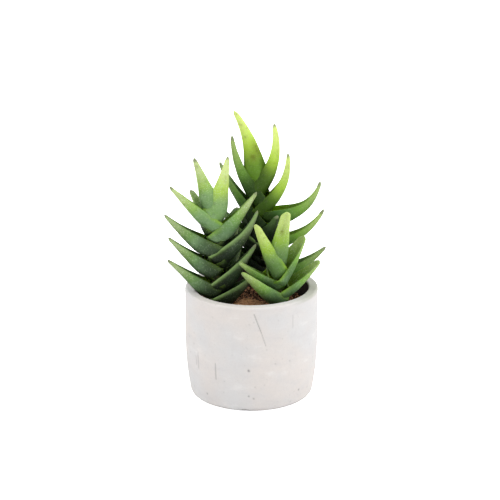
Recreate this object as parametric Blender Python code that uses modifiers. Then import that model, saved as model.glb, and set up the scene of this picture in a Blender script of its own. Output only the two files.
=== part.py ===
"""A potted aloe: three leafy stems of thick channelled leaves, in gritty soil, in a pale concrete pot.

+Z is up. The origin is the middle of the pot's flat underside, and lengths are in metres.
Every leaf, stem, the soil and the pot is its own object. Pieces that touch keep a gap of FIT.
"""

import math

import bmesh
import bpy
from mathutils import Matrix, Vector, noise

MM = 0.001
FIT = 0.3 * MM

# Pot
POT_RADIUS = 50.0 * MM
POT_HEIGHT = 84.0 * MM
POT_WALL = 7.0 * MM
POT_FLOOR = 9.0 * MM
POT_TAPER_TOP = 44.0 * MM
POT_TAPER_STEPS = 5
POT_FOOT_RADIUS = 46.5 * MM
POT_FOOT_ROUND = 5.0 * MM
POT_RIM_INNER_EASE = 0.8 * MM
POT_RIM_OUTER_EASE = 1.6 * MM
POT_INSIDE_ROUND = 4.0 * MM
POT_SIDES = 52

# Soil: a plug whose top swells to a mound between the stems
SOIL_TOP = 69.0 * MM
SOIL_GRAIN = 0.5 * MM
GRAIN_SCALE = 0.35 / MM
MOUND_HEIGHT = 7.5 * MM
MOUND_PLACE = Vector((-3.0, -12.0)) * MM
MOUND_SPREAD = 9.0 * MM
SOIL_SIDES = 36
SOIL_RINGS = 12

# Every leaf is a trough, square to its midrib from base to tip. It has a root that goes on past the
# stem, down into the leaves below, and starts as a narrow collar round the stem. From there to a
# blunt tip both its depth and its half width shrink. Its belly hangs below, and is deepest near
# the collar. A wrap is half the arc that a ring goes round, in degrees.
LEAF_RINGS = 9
LEAF_SPOTS = 5
COLLAR_EASE = 2.0 * MM
COLLAR_LENGTH = 8.0 * MM
ROOT_LENGTH = 4.0 * MM
ROOT_RISE = 1.4
ROOT_PINCH = 0.6
MOUTH_WRAP = 104.0
TIP_WRAP = 22.0
WRAP_POWER = 0.8
DEPTH_SHARE = 1.05
DEPTH_POWER = 1.1
TIP_DEPTH = 0.2 * MM
BELLY_RISE = (-0.1, 0.25)
BELLY_POWER = 1.8
CURL_START = 0.25
TIP_ROUND_START = 0.92
TIP_ROUND_END = 1.01
TIP_THICK_SHARE = 0.7
MIDRIB_STEPS = 8
RING_SPREAD = 1.2
BASE_THICK = 1.2 * MM
THICK_LENGTH = 18.0 * MM
MARGIN_THICK = 0.9 * MM
UNDER_SHARE = 0.5

# A leaf is cut clear of this many leaves above it, which it clasps.
CLASPED_LEAVES = 4
CLASP_ROOM = 1.2 * FIT
SLIVER = 0.01 * MM

STEM_DEPTH = 24.0 * MM
STEM_ABOVE = 1.0 * MM
STEM_SIDES = 16
STEM_SHARP_ANGLE = 40.0
HOLLOW_LONGER = 3 * FIT


class Stem:
    """A leafy stem: where it stands, the way it leans, and the leaves up it.

    Its leaves share a thickness, a half width at the tip, and a swell. With a swell under 1 a leaf
    stays broad up to its tip, and over 1 it narrows early.
    """

    def __init__(self, name, foot, top, radius, thick, tip, swell, leaves):
        self.name = name
        self.foot = Vector(foot) * MM
        self.top = Vector(top) * MM
        self.radius = radius * MM
        self.thick = thick * MM
        self.tip = tip * MM
        self.swell = swell
        self.leaves = leaves

    def matrix(self):
        """From the stem's own frame, with Z up along it, to the pot's."""
        along = (self.top - self.foot).normalized()
        turn = Vector((0, 0, 1)).rotation_difference(along)
        return Matrix.Translation(self.foot) @ turn.to_matrix().to_4x4()


# Each leaf, from the lowest up: its height up the stem, its turn about the stem, its lean from
# the stem, how far its tip curls back up, its length, its half width near the base and how far
# its belly sags. Lengths are in mm and angles in degrees.
LEFT = Stem(
    "left", foot=(-26, -9, 70), top=(-28, -8, 154), radius=3.2, thick=3.8, tip=1.7, swell=1.2,
    leaves=(
        (1.2, -4, 49, 12, 37, 9.5, 4.5),
        (3, 105, 44, 10, 32, 9.0, 4.5),
        (9, -166, 46, 2, 45, 9.0, 4.5),
        (11, 50, 44, 10, 38, 11.0, 5.5),
        (13, -6, 39, 8, 45, 9.5, 4.5),
        (21, 105, 42, 10, 32, 9.0, 4.5),
        (25, -166, 45, 5, 45, 9.5, 4.5),
        (30, 50, 42, 10, 38, 11.0, 5.5),
        (35, -6, 44, 24, 50, 9.5, 4.5),
        (39, 105, 40, 10, 32, 9.0, 4.5),
        (41, -166, 47, 9, 48, 10.5, 4.5),
        (46, 42, 38, 8, 33, 9.5, 3.0),
        (51, -8, 38, 6, 48, 9.5, 4.5),
        (56, 128, 40, 0, 38, 8.5, 4.5),
        (60, -162, 38, 1, 47, 10.0, 1.0),
        (66, -30, 12, 5, 53, 11.5, 4.5),
        (73, -142, 15, 0, 47, 9.0, 4.5),
    ),
)
BACK = Stem(
    "back", foot=(12, 16, 70), top=(5, 15, 160), radius=3.2, thick=4.0, tip=1.8, swell=1.2,
    leaves=(
        (2, 100, 48, 10, 38, 9.0, 0.0),
        (7, -10, 59, 14, 54, 12.0, 0.0),
        (15, 172, 40, 10, 43, 11.0, 3.0),
        (21, 92, 46, 10, 46, 9.0, 0.0),
        (25, 145, 40, 10, 42, 10.0, 0.0),
        (34, 168, 40, 12, 46, 11.0, 3.0),
        (35.5, -12, 65, 32, 56.5, 8.5, 0.0),
        (40, -48, 30, 8, 31, 11.5, 4.0),
        (44, 145, 40, 10, 30, 10.0, 0.0),
        (54, 178, 27, 10, 59, 10.0, 0.0),
        (59, 100, 38, 10, 44, 9.0, 0.0),
        (61, -10, 76, 54, 55, 7.5, 8.0),
        (64, -12, 36, 36, 54, 10.0, 0.0),
        (71, -165, 20, 20, 60, 10.0, 0.0),
        (76, 95, 26, 10, 32, 8.5, 0.0),
        (81, -20, 25, 34, 58, 9.5, 1.0),
        (89, -138, 5, -20, 63, 9.5, 6.0),
    ),
)
FRONT = Stem(
    "front", foot=(20, -17, 70), top=(18.5, -17, 130), radius=3.0, thick=4.4, tip=3.0, swell=0.8,
    leaves=(
        (4, -139, 41, 0, 45, 9.5, 0.0),
        (8, 18, 50, 8, 40, 10.0, 0.0),
        (11, 100, 36, 10, 28, 8.5, 0.0),
        (17, -160, 47, 4, 36, 7.5, 0.0),
        (20, 32, 33, 6, 39.5, 12.0, 0.0),
        (23, 110, 26, 8, 26, 8.5, 0.0),
        (28, -141, 19.5, 0, 46, 8.5, 0.0),
        (34, -64, 16, 2, 49, 8.0, 0.0),
    ),
)
STEMS = (LEFT, BACK, FRONT)


def smooth(a, b, x):
    """0 before a, 1 after b, and an easy curve between."""
    t = min(1.0, max(0.0, (x - a) / (b - a)))
    return t * t * (3 - 2 * t)


def clear_scene():
    for obj in list(bpy.data.objects):
        bpy.data.objects.remove(obj)


def make_material(name, colour, roughness):
    material = bpy.data.materials.new(name)
    material.use_nodes = True
    shader = material.node_tree.nodes["Principled BSDF"]
    shader.inputs["Base Color"].default_value = (*colour, 1.0)
    shader.inputs["Roughness"].default_value = roughness
    shader.inputs["Metallic"].default_value = 0.0
    return material


def make_object(name, mesh, material, collection):
    obj = bpy.data.objects.new(name, mesh)
    mesh.materials.append(material)
    collection.objects.link(obj)
    return obj


def loft(name, rings):
    """A closed mesh of flat triangles through rings of points, each ring as long as the last."""
    mesh = bmesh.new()
    loops = [[mesh.verts.new(point) for point in ring] for ring in rings]
    for low, high in zip(loops, loops[1:]):
        for i, corner in enumerate(low):
            after = (i + 1) % len(low)
            mesh.faces.new((corner, low[after], high[after], high[i]))
    mesh.faces.new(reversed(loops[0]))
    mesh.faces.new(loops[-1])
    bmesh.ops.recalc_face_normals(mesh, faces=mesh.faces)
    bmesh.ops.triangulate(mesh, faces=mesh.faces)
    data = bpy.data.meshes.new(name)
    mesh.to_mesh(data)
    mesh.free()
    data.shade_smooth()
    return data


def leaf_midrib(stem, height, lean, curl, length):
    """Places along a leaf's midrib: how far along, where, and the angle from the stem there."""
    root = min(ROOT_LENGTH, height)
    angle = math.radians(lean)
    place = Vector((stem.radius + FIT + BASE_THICK / 2, 0, height))
    place = place - Vector((math.sin(angle), 0, math.cos(angle))) * root
    places = []
    before = -root
    for ring in range(LEAF_RINGS):
        along = (length + root) * (1 - (1 - ring / (LEAF_RINGS - 1)) ** RING_SPREAD) - root
        stride = (along - before) / MIDRIB_STEPS
        for step in range(MIDRIB_STEPS):
            angle = leaf_angle(lean, curl, (before + stride * (step + 0.5)) / length)
            place = place + Vector((math.sin(angle), 0, math.cos(angle))) * stride
        before = along
        places.append((along, place, leaf_angle(lean, curl, along / length)))
    return places


def leaf_angle(lean, curl, share):
    return math.radians(lean - curl * smooth(CURL_START, 1.0, share))


def leaf_rings(stem, height, turn, lean, curl, length, mouth, belly):
    """Rings of points along one leaf, in the stem's frame, each square to the midrib."""
    collar = stem.radius + FIT + COLLAR_EASE
    rings = []
    for along, middle, angle in leaf_midrib(stem, height, lean, curl, length):
        taper = min(1.0, max(0.0, 1 - along / length))
        outward = Vector((math.cos(angle), 0, -math.sin(angle)))
        half_width = stem.tip + (mouth - stem.tip) * taper**stem.swell
        free = smooth(-ROOT_LENGTH, COLLAR_LENGTH - ROOT_LENGTH, along)
        half_width = collar + (half_width - collar) * free
        pinch = 1 - ROOT_PINCH * smooth(0.0, ROOT_LENGTH, -along)
        half_width = half_width * pinch
        wrap = math.radians(TIP_WRAP + (MOUTH_WRAP - TIP_WRAP) * taper**WRAP_POWER) * pinch
        radius = half_width / math.sin(min(wrap, math.pi / 2))
        depth = DEPTH_SHARE * mouth * taper**DEPTH_POWER * pinch + TIP_DEPTH
        depth += ROOT_RISE * math.sin(angle) * max(0.0, -along)
        low = belly * smooth(*BELLY_RISE, along / length) * taper**BELLY_POWER
        middle = middle + outward * low
        depth += low
        deep = depth / (radius * (1 - math.cos(wrap)))
        thick = BASE_THICK + (stem.thick - BASE_THICK) * smooth(0.0, THICK_LENGTH, along)
        thick = thick * (TIP_THICK_SHARE + (1 - TIP_THICK_SHARE) * taper)
        blunt = math.sqrt(max(0.0, 1 - smooth(TIP_ROUND_START, TIP_ROUND_END, 1 - taper) ** 2))
        rings.append(leaf_section(middle, outward, wrap, radius, deep, thick, blunt))
    spin = Matrix.Rotation(math.radians(turn), 3, "Z")
    return [[spin @ point for point in ring] for ring in rings]


def leaf_section(middle, outward, wrap, radius, deep, thick, blunt):
    """One ring: a lens bent into an arc, thick along the midrib and thin at its margins."""
    across = Vector((0, 1, 0))
    radius = radius * blunt
    margin = MARGIN_THICK * blunt
    body = max(0.0, thick - MARGIN_THICK) * blunt
    centre = middle - outward * radius * deep
    faces = []
    for side in (UNDER_SHARE, UNDER_SHARE - 1):
        face = []
        for spot in range(LEAF_SPOTS):
            part = 2 * spot / (LEAF_SPOTS - 1) - 1
            depth = margin * math.copysign(0.5, side) + body * side * (1 - part * part)
            out = outward * math.cos(wrap * part) * (radius * deep + depth)
            aside = across * math.sin(wrap * part) * (radius + depth)
            face.append(centre + out + aside)
        faces.append(face)
    return faces[0] + faces[1][::-1]


def make_cutter(name, mesh, place, collection):
    """A swollen copy of a leaf, which cuts the leaves below it clear of it."""
    cutter = bpy.data.objects.new(name, mesh)
    cutter.matrix_world = place
    cutter.display_type = "WIRE"
    cutter.hide_render = True
    collection.objects.link(cutter)
    swell = cutter.modifiers.new("Swell", "DISPLACE")
    swell.strength = CLASP_ROOM
    swell.mid_level = 0.0
    return cutter


def cut_out(piece, cutter):
    """Leave a piece without what lies inside a cutter."""
    cut = piece.modifiers.new(f"Without {cutter.name}", "BOOLEAN")
    cut.operation = "DIFFERENCE"
    cut.object = cutter


def make_leaves(stem, hollow, material, collection, cutters):
    """The leaves up one stem, each cut clear of the stem and of the leaves that it clasps."""
    place = stem.matrix()
    leaves = []
    swollen = []
    for number, (height, turn, lean, curl, length, mouth, belly) in enumerate(stem.leaves):
        rings = leaf_rings(stem, height * MM, turn, lean, curl, length * MM, mouth * MM, belly * MM)
        name = f"leaf_{stem.name}_{number + 1:02d}"
        leaf = make_object(name, loft(name, rings), material, collection)
        leaf.matrix_world = place
        leaves.append(leaf)
        swollen.append(make_cutter(f"cut_{name}", leaf.data, place, cutters))
    for number, leaf in enumerate(leaves):
        cut_out(leaf, hollow)
        for above in swollen[number + 1 : number + 1 + CLASPED_LEAVES]:
            cut_out(leaf, above)
    for leaf in leaves:
        keep_biggest_body(leaf)
    for cutter in swollen:
        bpy.data.objects.remove(cutter)


def keep_biggest_body(leaf):
    """Bake a leaf's cuts, and drop the scraps and slivers that they leave along its edges."""
    scene = bpy.context.evaluated_depsgraph_get()
    data = bpy.data.meshes.new_from_object(leaf.evaluated_get(scene))
    leaf.modifiers.clear()
    mesh = bmesh.new()
    mesh.from_mesh(data)
    bodies = []
    loose = set(mesh.faces)
    while loose:
        body = [loose.pop()]
        for face in body:
            for edge in face.edges:
                beside = loose.intersection(edge.link_faces)
                loose -= beside
                body += beside
        bodies.append(body)
    bodies.sort(key=lambda body: sum(face.calc_area() for face in body))
    for scrap in bodies[:-1]:
        bmesh.ops.delete(mesh, geom=scrap, context="FACES")
    bmesh.ops.dissolve_degenerate(mesh, dist=SLIVER, edges=mesh.edges)
    bmesh.ops.triangulate(mesh, faces=mesh.faces)
    bmesh.ops.recalc_face_normals(mesh, faces=mesh.faces)
    mesh.to_mesh(data)
    mesh.free()
    leaf.data = data


def make_pole(name, stem, wider, longer, collection):
    """A round pole along a stem, from deep in the soil to its topmost leaf."""
    above = stem.leaves[-1][0] * MM + STEM_ABOVE + longer
    below = STEM_DEPTH + longer
    radius = stem.radius + wider
    mesh = bmesh.new()
    bmesh.ops.create_cone(
        mesh, cap_ends=True, segments=STEM_SIDES, radius1=radius, radius2=radius, depth=above + below
    )
    bmesh.ops.translate(mesh, verts=mesh.verts, vec=(0, 0, (above - below) / 2))
    data = bpy.data.meshes.new(name)
    mesh.to_mesh(data)
    mesh.free()
    data.shade_smooth()
    data.set_sharp_from_angle(angle=math.radians(STEM_SHARP_ANGLE))
    pole = bpy.data.objects.new(name, data)
    collection.objects.link(pole)
    pole.matrix_world = stem.matrix()
    return pole


def make_hollow(stem, collection):
    """The room that a stem needs in the soil and in its leaves."""
    hollow = make_pole(f"hollow_{stem.name}", stem, FIT, HOLLOW_LONGER, collection)
    hollow.hide_render = True
    hollow.display_type = "WIRE"
    return hollow


def quarter_arc(centre, radius, start, turn, steps=4):
    """Points on a quarter circle of a turned profile, from an angle and one way round."""
    points = []
    for step in range(steps + 1):
        angle = math.radians(start + turn * step / steps)
        points.append((centre[0] + radius * math.cos(angle), centre[1] + radius * math.sin(angle)))
    return points


def make_pot(material, collection):
    """A turned profile: out over the floor, up the inside, over the rim, down and in under the foot."""
    inner = POT_RADIUS - POT_WALL
    low = (inner - POT_INSIDE_ROUND, POT_FLOOR + POT_INSIDE_ROUND)
    foot = (POT_FOOT_RADIUS - POT_FOOT_ROUND, POT_FOOT_ROUND)
    profile = [(0, POT_FLOOR)]
    profile += quarter_arc(low, POT_INSIDE_ROUND, -90, 90, 3)
    profile += [(inner, POT_HEIGHT - POT_RIM_INNER_EASE), (inner + POT_RIM_INNER_EASE, POT_HEIGHT)]
    outer = (POT_RADIUS - POT_RIM_OUTER_EASE, POT_HEIGHT - POT_RIM_OUTER_EASE)
    profile += quarter_arc(outer, POT_RIM_OUTER_EASE, 90, -90, 2)
    for step in range(POT_TAPER_STEPS):
        part = step / POT_TAPER_STEPS
        radius = POT_RADIUS - (POT_RADIUS - POT_FOOT_RADIUS) * part * part
        profile.append((radius, POT_TAPER_TOP - (POT_TAPER_TOP - POT_FOOT_ROUND) * part))
    profile += quarter_arc(foot, POT_FOOT_ROUND, 0, -90)
    profile.append((0, 0))
    data = bpy.data.meshes.new("pot")
    data.from_pydata([(x, 0, z) for x, z in profile], [(i, i + 1) for i in range(len(profile) - 1)], [])
    pot = make_object("pot", data, material, collection)
    screw = pot.modifiers.new("Turn", "SCREW")
    screw.steps = screw.render_steps = POT_SIDES
    screw.use_merge_vertices = True
    screw.merge_threshold = 0.05 * MM
    return pot


def soil_height(x, y):
    """The soil's top: a level bed, a soft mound and the roughness of its grains."""
    away = (Vector((x, y)) - MOUND_PLACE).length / MOUND_SPREAD
    grains = noise.noise(Vector((x, y, 0)) * GRAIN_SCALE)
    return SOIL_TOP + MOUND_HEIGHT * math.exp(-away * away / 2) + SOIL_GRAIN * grains


def make_soil(material, collection, hollows):
    """Rings from the middle of the underside, up the pot's wall and in over the top."""
    radius = POT_RADIUS - POT_WALL - FIT
    floor = POT_FLOOR + FIT
    ease = POT_INSIDE_ROUND + FIT
    rings = [soil_ring(r, z) for r, z in ((FIT, floor), (radius - ease, floor), (radius, floor + ease))]
    inward = [radius * (1 - step / (SOIL_RINGS + 0.2)) for step in range(SOIL_RINGS + 1)]
    rings += [soil_ring(r, None) for r in inward]
    soil = make_object("soil", loft("soil", rings), material, collection)
    for hollow in hollows:
        cut_out(soil, hollow)


def soil_ring(radius, height):
    """A ring of points at a height, or on the soil's top where no height is given."""
    ring = []
    for side in range(SOIL_SIDES):
        angle = 2 * math.pi * side / SOIL_SIDES
        x = radius * math.cos(angle)
        y = radius * math.sin(angle)
        ring.append(Vector((x, y, soil_height(x, y) if height is None else height)))
    return ring


def main():
    clear_scene()
    collection = bpy.data.collections.new("potted_aloe")
    cutters = bpy.data.collections.new("cutters")
    bpy.context.scene.collection.children.link(collection)
    bpy.context.scene.collection.children.link(cutters)
    concrete = make_material("concrete", (0.62, 0.60, 0.58), 0.85)
    earth = make_material("soil", (0.10, 0.06, 0.035), 0.95)
    leaf_green = make_material("leaf", (0.13, 0.27, 0.08), 0.5)
    stem_green = make_material("stem", (0.16, 0.22, 0.08), 0.6)
    make_pot(concrete, collection)
    hollows = [make_hollow(stem, cutters) for stem in STEMS]
    make_soil(earth, collection, hollows)
    for stem, hollow in zip(STEMS, hollows):
        pole = make_pole(f"stem_{stem.name}", stem, 0.0, 0.0, collection)
        pole.data.materials.append(stem_green)
        make_leaves(stem, hollow, leaf_green, collection, cutters)


main()
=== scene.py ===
"""The looks of the potted aloe: fine leaves, gritty soil and a cast concrete pot, in soft studio light.

Lengths are in metres and +Z is up. Each leaf is built again, finer, from the rows that its solid
was built from, so a leaf here lies where its solid does.
"""

import math
from types import SimpleNamespace

import bmesh
import bpy
import numpy as np
from mathutils import Matrix, Vector, noise

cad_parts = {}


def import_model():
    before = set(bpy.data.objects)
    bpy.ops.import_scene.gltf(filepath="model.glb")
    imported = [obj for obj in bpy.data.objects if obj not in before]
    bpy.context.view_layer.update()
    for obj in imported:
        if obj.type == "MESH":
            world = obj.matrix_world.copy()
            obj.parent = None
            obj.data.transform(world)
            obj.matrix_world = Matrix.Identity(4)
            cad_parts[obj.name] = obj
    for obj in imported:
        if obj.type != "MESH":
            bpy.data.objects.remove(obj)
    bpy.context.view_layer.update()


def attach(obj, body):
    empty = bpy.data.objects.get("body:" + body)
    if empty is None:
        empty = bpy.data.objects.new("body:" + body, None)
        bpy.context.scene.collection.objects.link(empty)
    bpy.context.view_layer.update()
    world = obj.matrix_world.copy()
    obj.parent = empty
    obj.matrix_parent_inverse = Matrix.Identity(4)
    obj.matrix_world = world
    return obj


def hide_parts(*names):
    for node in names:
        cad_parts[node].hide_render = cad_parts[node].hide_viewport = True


MM = 0.001
FIT = 0.3 * MM

# Camera
CAMERA_ELEVATION = 18.3
CAMERA_DISTANCE = 1.5
CAMERA_TARGET = Vector((-1.1, 0.0, 112.0)) * MM
CAMERA_LENS = 144.7
CAMERA_SENSOR = 36.0
CAMERA_REACH = 20.0

# Pot
POT_RADIUS = 50.0 * MM
POT_HEIGHT = 84.0 * MM
POT_WALL = 7.0 * MM
POT_TAPER_TOP = 44.0 * MM
POT_FOOT_RADIUS = 46.5 * MM
POT_FOOT_ROUND = 5.0 * MM
POT_RIM_INNER_EASE = 0.8 * MM
POT_RIM_INNER_CORNER = 0.3
POT_RIM_OUTER_EASE = 1.6 * MM
POT_RIM_STEPS = 6
POT_TAPER_STEPS = 20
POT_FOOT_STEPS = 12
POT_SIDES = 480
POT_ROW = 0.7 * MM

# Soil
SOIL_TOP = 69.0 * MM
SOIL_GRAIN = 0.5 * MM
GRAIN_SCALE = 0.35 / MM
CRUMB_HEIGHT = 0.35 * MM
CRUMB_SCALE = 900.0
CRUMB_LAYER = 0.01
MOUND_HEIGHT = 7.5 * MM
MOUND_PLACE = Vector((-3.0, -12.0)) * MM
MOUND_SPREAD = 9.0 * MM
# How far below its top the soil's skin goes, and the pot's inner wall with it.
SKIN_DEPTH = 6.0 * MM

# Leaves, by the law that shapes the solids, but on finer rings and with roots 1 mm longer. A root
# goes on past the stem, down into the leaves below, and is pinched narrower than the collar round
# the stem. From the collar to a blunt tip both depth and half width shrink. A belly may hang below.
# A wrap is half the arc that a ring goes round, in degrees.
LEAF_RINGS = 46
FACE_SPOTS = 15
CAP_SPOTS = 3
COLLAR_EASE = 2.0 * MM
COLLAR_LENGTH = 8.0 * MM
ROOT_LENGTH = 5.0 * MM
ROOT_RISE = 1.4
ROOT_PINCH = 0.6
MOUTH_WRAP = 104.0
TIP_WRAP = 22.0
WRAP_POWER = 0.8
DEPTH_SHARE = 1.05
DEPTH_POWER = 1.1
TIP_DEPTH = 0.2 * MM
BELLY_RISE = (-0.1, 0.25)
BELLY_POWER = 1.8
CURL_START = 0.25
TIP_ROUND_START = 0.92
TIP_ROUND_END = 1.01
TIP_THICK_SHARE = 0.7
MIDRIB_STEPS = 4
RING_SPREAD = 1.2
BASE_THICK = 1.2 * MM
THICK_LENGTH = 18.0 * MM
MARGIN_THICK = 0.9 * MM
UNDER_SHARE = 0.5


class Stem:
    """A leafy stem: where it stands, the way it leans, and the leaves up it.

    Its leaves share a thickness, a half width at the tip, and a swell, which is under 1 where they
    stay broad up to the tip. They also share a bloom, the amount of pale frost on them, and how
    withered their tips are, each from 0 to 1.
    """

    def __init__(self, name, foot, top, radius, thick, tip, swell, bloom, withered, leaves):
        self.name = name
        self.foot = Vector(foot) * MM
        self.top = Vector(top) * MM
        self.radius = radius * MM
        self.thick = thick * MM
        self.tip = tip * MM
        self.swell = swell
        self.bloom = bloom
        self.withered = withered
        self.leaves = leaves

    def matrix(self):
        """From the stem's own frame, with Z up along it, to the pot's."""
        along = (self.top - self.foot).normalized()
        turn = Vector((0, 0, 1)).rotation_difference(along)
        return Matrix.Translation(self.foot) @ turn.to_matrix().to_4x4()


# Each leaf, from the lowest up: its height up the stem, its turn about the stem, its lean from
# the stem, how far its tip curls back up, its length, its half width near the base, how far its
# belly sags, and its age and shade, from 0 for a bright new leaf to 1 for a dark old one. This
# value is partly the leaf's age and partly painted shade: leaves that lie in shade are given
# higher, darker values. Lengths are in mm and angles in degrees.
LEFT = Stem(
    "left", foot=(-26, -9, 70), top=(-28, -8, 154), radius=3.2,
    thick=3.8, tip=1.7, swell=1.2, bloom=1.0, withered=1.0,
    leaves=(
        (1.2, -4, 49, 12, 37, 9.5, 4.5, 0.97),
        (3, 105, 44, 10, 32, 9.0, 4.5, 1.0),
        (9, -166, 46, 2, 45, 9.0, 4.5, 0.71),
        (11, 50, 44, 10, 38, 11.0, 5.5, 1.0),
        (13, -6, 39, 8, 45, 9.5, 4.5, 0.97),
        (21, 105, 42, 10, 32, 9.0, 4.5, 1.0),
        (25, -166, 45, 5, 45, 9.5, 4.5, 0.7),
        (30, 50, 42, 10, 38, 11.0, 5.5, 1.0),
        (35, -6, 44, 24, 50, 9.5, 4.5, 0.95),
        (39, 105, 40, 10, 32, 9.0, 4.5, 1.0),
        (41, -166, 47, 9, 48, 10.5, 4.5, 0.7),
        (46, 42, 38, 8, 33, 9.5, 3.0, 1.0),
        (51, -8, 38, 6, 48, 9.5, 4.5, 0.5),
        (56, 128, 40, 0, 38, 8.5, 4.5, 0.7),
        (60, -162, 38, 1, 47, 10.0, 1.0, 0.38),
        (66, -30, 12, 5, 53, 11.5, 4.5, 0.1),
        (73, -142, 15, 0, 47, 9.0, 4.5, 0.34),
    ),
)
BACK = Stem(
    "back", foot=(12, 16, 70), top=(5, 15, 160), radius=3.2,
    thick=4.0, tip=1.8, swell=1.2, bloom=0.1, withered=1.0,
    leaves=(
        (2, 100, 48, 10, 38, 9.0, 0.0, 1.0),
        (7, -10, 59, 14, 54, 12.0, 0.0, 0.65),
        (15, 172, 40, 10, 43, 11.0, 3.0, 1.0),
        (21, 92, 46, 10, 46, 9.0, 0.0, 1.0),
        (25, 145, 40, 10, 42, 10.0, 0.0, 1.0),
        (34, 168, 40, 12, 46, 11.0, 3.0, 0.9),
        (35.5, -12, 65, 32, 56.5, 8.5, 0.0, 0.45),
        (40, -48, 30, 8, 31, 11.5, 4.0, 1.0),
        (44, 145, 40, 10, 30, 10.0, 0.0, 1.0),
        (54, 178, 27, 10, 59, 10.0, 0.0, 0.65),
        (59, 100, 38, 10, 44, 9.0, 0.0, 0.9),
        (61, -10, 76, 54, 55, 7.5, 8.0, 0.48),
        (64, -12, 36, 36, 54, 10.0, 0.0, 0.2),
        (71, -165, 20, 20, 60, 10.0, 0.0, 0.5),
        (76, 95, 26, 10, 32, 8.5, 0.0, 0.5),
        (81, -20, 25, 34, 58, 9.5, 1.0, 0.08),
        (89, -138, 5, -20, 63, 9.5, 6.0, 0.02),
    ),
)
FRONT = Stem(
    "front", foot=(20, -17, 70), top=(18.5, -17, 130), radius=3.0,
    thick=4.4, tip=3.0, swell=0.8, bloom=0.6, withered=0.15,
    leaves=(
        (4, -139, 41, 0, 45, 9.5, 0.0, 0.5),
        (8, 18, 50, 8, 40, 10.0, 0.0, 0.5),
        (11, 100, 36, 10, 28, 8.5, 0.0, 0.9),
        (17, -160, 47, 4, 36, 7.5, 0.0, 0.55),
        (20, 32, 33, 6, 39.5, 12.0, 0.0, 0.5),
        (23, 110, 26, 8, 26, 8.5, 0.0, 0.8),
        (28, -141, 19.5, 0, 46, 8.5, 0.0, 0.25),
        (34, -64, 16, 2, 49, 8.0, 0.0, 0.3),
    ),
)
STEMS = (LEFT, BACK, FRONT)


def smooth(a, b, x):
    """0 before a, 1 after b, and an easy curve between."""
    t = min(1.0, max(0.0, (x - a) / (b - a)))
    return t * t * (3 - 2 * t)


def wrapped(angle):
    """An angle, or an array of them, brought to between minus pi and pi."""
    return (angle + math.pi) % (2 * math.pi) - math.pi


def link(obj):
    bpy.context.scene.collection.objects.link(obj)
    return obj


def mesh_object(name, verts, faces, material, smooth_shaded=True):
    """A new piece with one material."""
    data = bpy.data.meshes.new(name)
    data.from_pydata(verts, [], faces)
    if smooth_shaded:
        data.shade_smooth()
    data.materials.append(material)
    return link(bpy.data.objects.new(name, data))


# Materials


class Nodes:
    """Short calls for building the node tree of a material or the world."""

    def __init__(self, owner):
        owner.use_nodes = True
        self.owner = owner
        self.tree = owner.node_tree
        self.shader = self.tree.nodes.get("Principled BSDF")

    @classmethod
    def material(cls, name, **settings):
        """A new material, with the shader's constant values by name, such as Subsurface_Weight."""
        nodes = cls(bpy.data.materials.new(name))
        for socket, value in settings.items():
            nodes.shader.inputs[socket.replace("_", " ")].default_value = value
        return nodes

    def add(self, kind, **settings):
        node = self.tree.nodes.new(kind)
        for name, value in settings.items():
            setattr(node, name, value)
        return node

    def put(self, socket, value):
        """Link a socket to a value of another node, or give it a constant."""
        if isinstance(value, bpy.types.NodeSocket):
            self.tree.links.new(value, socket)
        elif isinstance(value, tuple) and len(value) == 3 and socket.type == "RGBA":
            socket.default_value = (*value, 1.0)
        else:
            socket.default_value = value

    def stored(self, name, output="Fac"):
        """A value that is stored on the points of the mesh."""
        return self.add("ShaderNodeAttribute", attribute_name=name).outputs[output]

    def place(self, output="Object"):
        return self.add("ShaderNodeTexCoord").outputs[output]

    def seen_by_camera(self):
        """1 for what the camera sees straight on, and 0 for light that bounces."""
        return self.add("ShaderNodeLightPath").outputs["Is Camera Ray"]

    def math(self, operation, a, b):
        node = self.add("ShaderNodeMath", operation=operation)
        self.put(node.inputs[0], a)
        self.put(node.inputs[1], b)
        return node.outputs[0]

    def product(self, first, *others):
        for other in others:
            first = self.math("MULTIPLY", first, other)
        return first

    def ramp(self, value, low, high, to_low=0.0, to_high=1.0):
        """value from low to high, eased, becomes to_low to to_high."""
        node = self.add("ShaderNodeMapRange", interpolation_type="SMOOTHSTEP")
        for number, given in enumerate((value, low, high, to_low, to_high)):
            self.put(node.inputs[number], given)
        return node.outputs[0]

    def mix(self, share, first, second):
        node = self.add("ShaderNodeMix", data_type="RGBA")
        self.put(node.inputs["Factor"], share)
        self.put(node.inputs[6], first)
        self.put(node.inputs[7], second)
        return node.outputs[2]

    def noise(self, place, scale, detail=3.0, roughness=0.5):
        node = self.add("ShaderNodeTexNoise")
        self.put(node.inputs["Vector"], place)
        node.inputs["Scale"].default_value = scale
        node.inputs["Detail"].default_value = detail
        node.inputs["Roughness"].default_value = roughness
        return node.outputs["Fac"]

    def cells(self, place, scale):
        """How far a place is from the middle of its cell."""
        node = self.add("ShaderNodeTexVoronoi")
        self.put(node.inputs["Vector"], place)
        node.inputs["Scale"].default_value = scale
        return node.outputs["Distance"]

    def scaled(self, place, factors):
        node = self.add("ShaderNodeVectorMath", operation="MULTIPLY")
        self.put(node.inputs[0], place)
        node.inputs[1].default_value = factors
        return node.outputs[0]

    def distance(self, place, point):
        node = self.add("ShaderNodeVectorMath", operation="DISTANCE")
        self.put(node.inputs[0], place)
        node.inputs[1].default_value = point
        return node.outputs["Value"]

    def bump(self, height, distance, strength=1.0, below=None):
        node = self.add("ShaderNodeBump")
        node.inputs["Strength"].default_value = strength
        node.inputs["Distance"].default_value = distance
        self.put(node.inputs["Height"], height)
        if below is not None:
            self.put(node.inputs["Normal"], below)
        return node.outputs["Normal"]

    def finish(self, colour, normal, roughness=None):
        self.put(self.shader.inputs["Base Color"], colour)
        self.put(self.shader.inputs["Normal"], normal)
        if roughness is not None:
            self.put(self.shader.inputs["Roughness"], roughness)
        return self.owner


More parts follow.
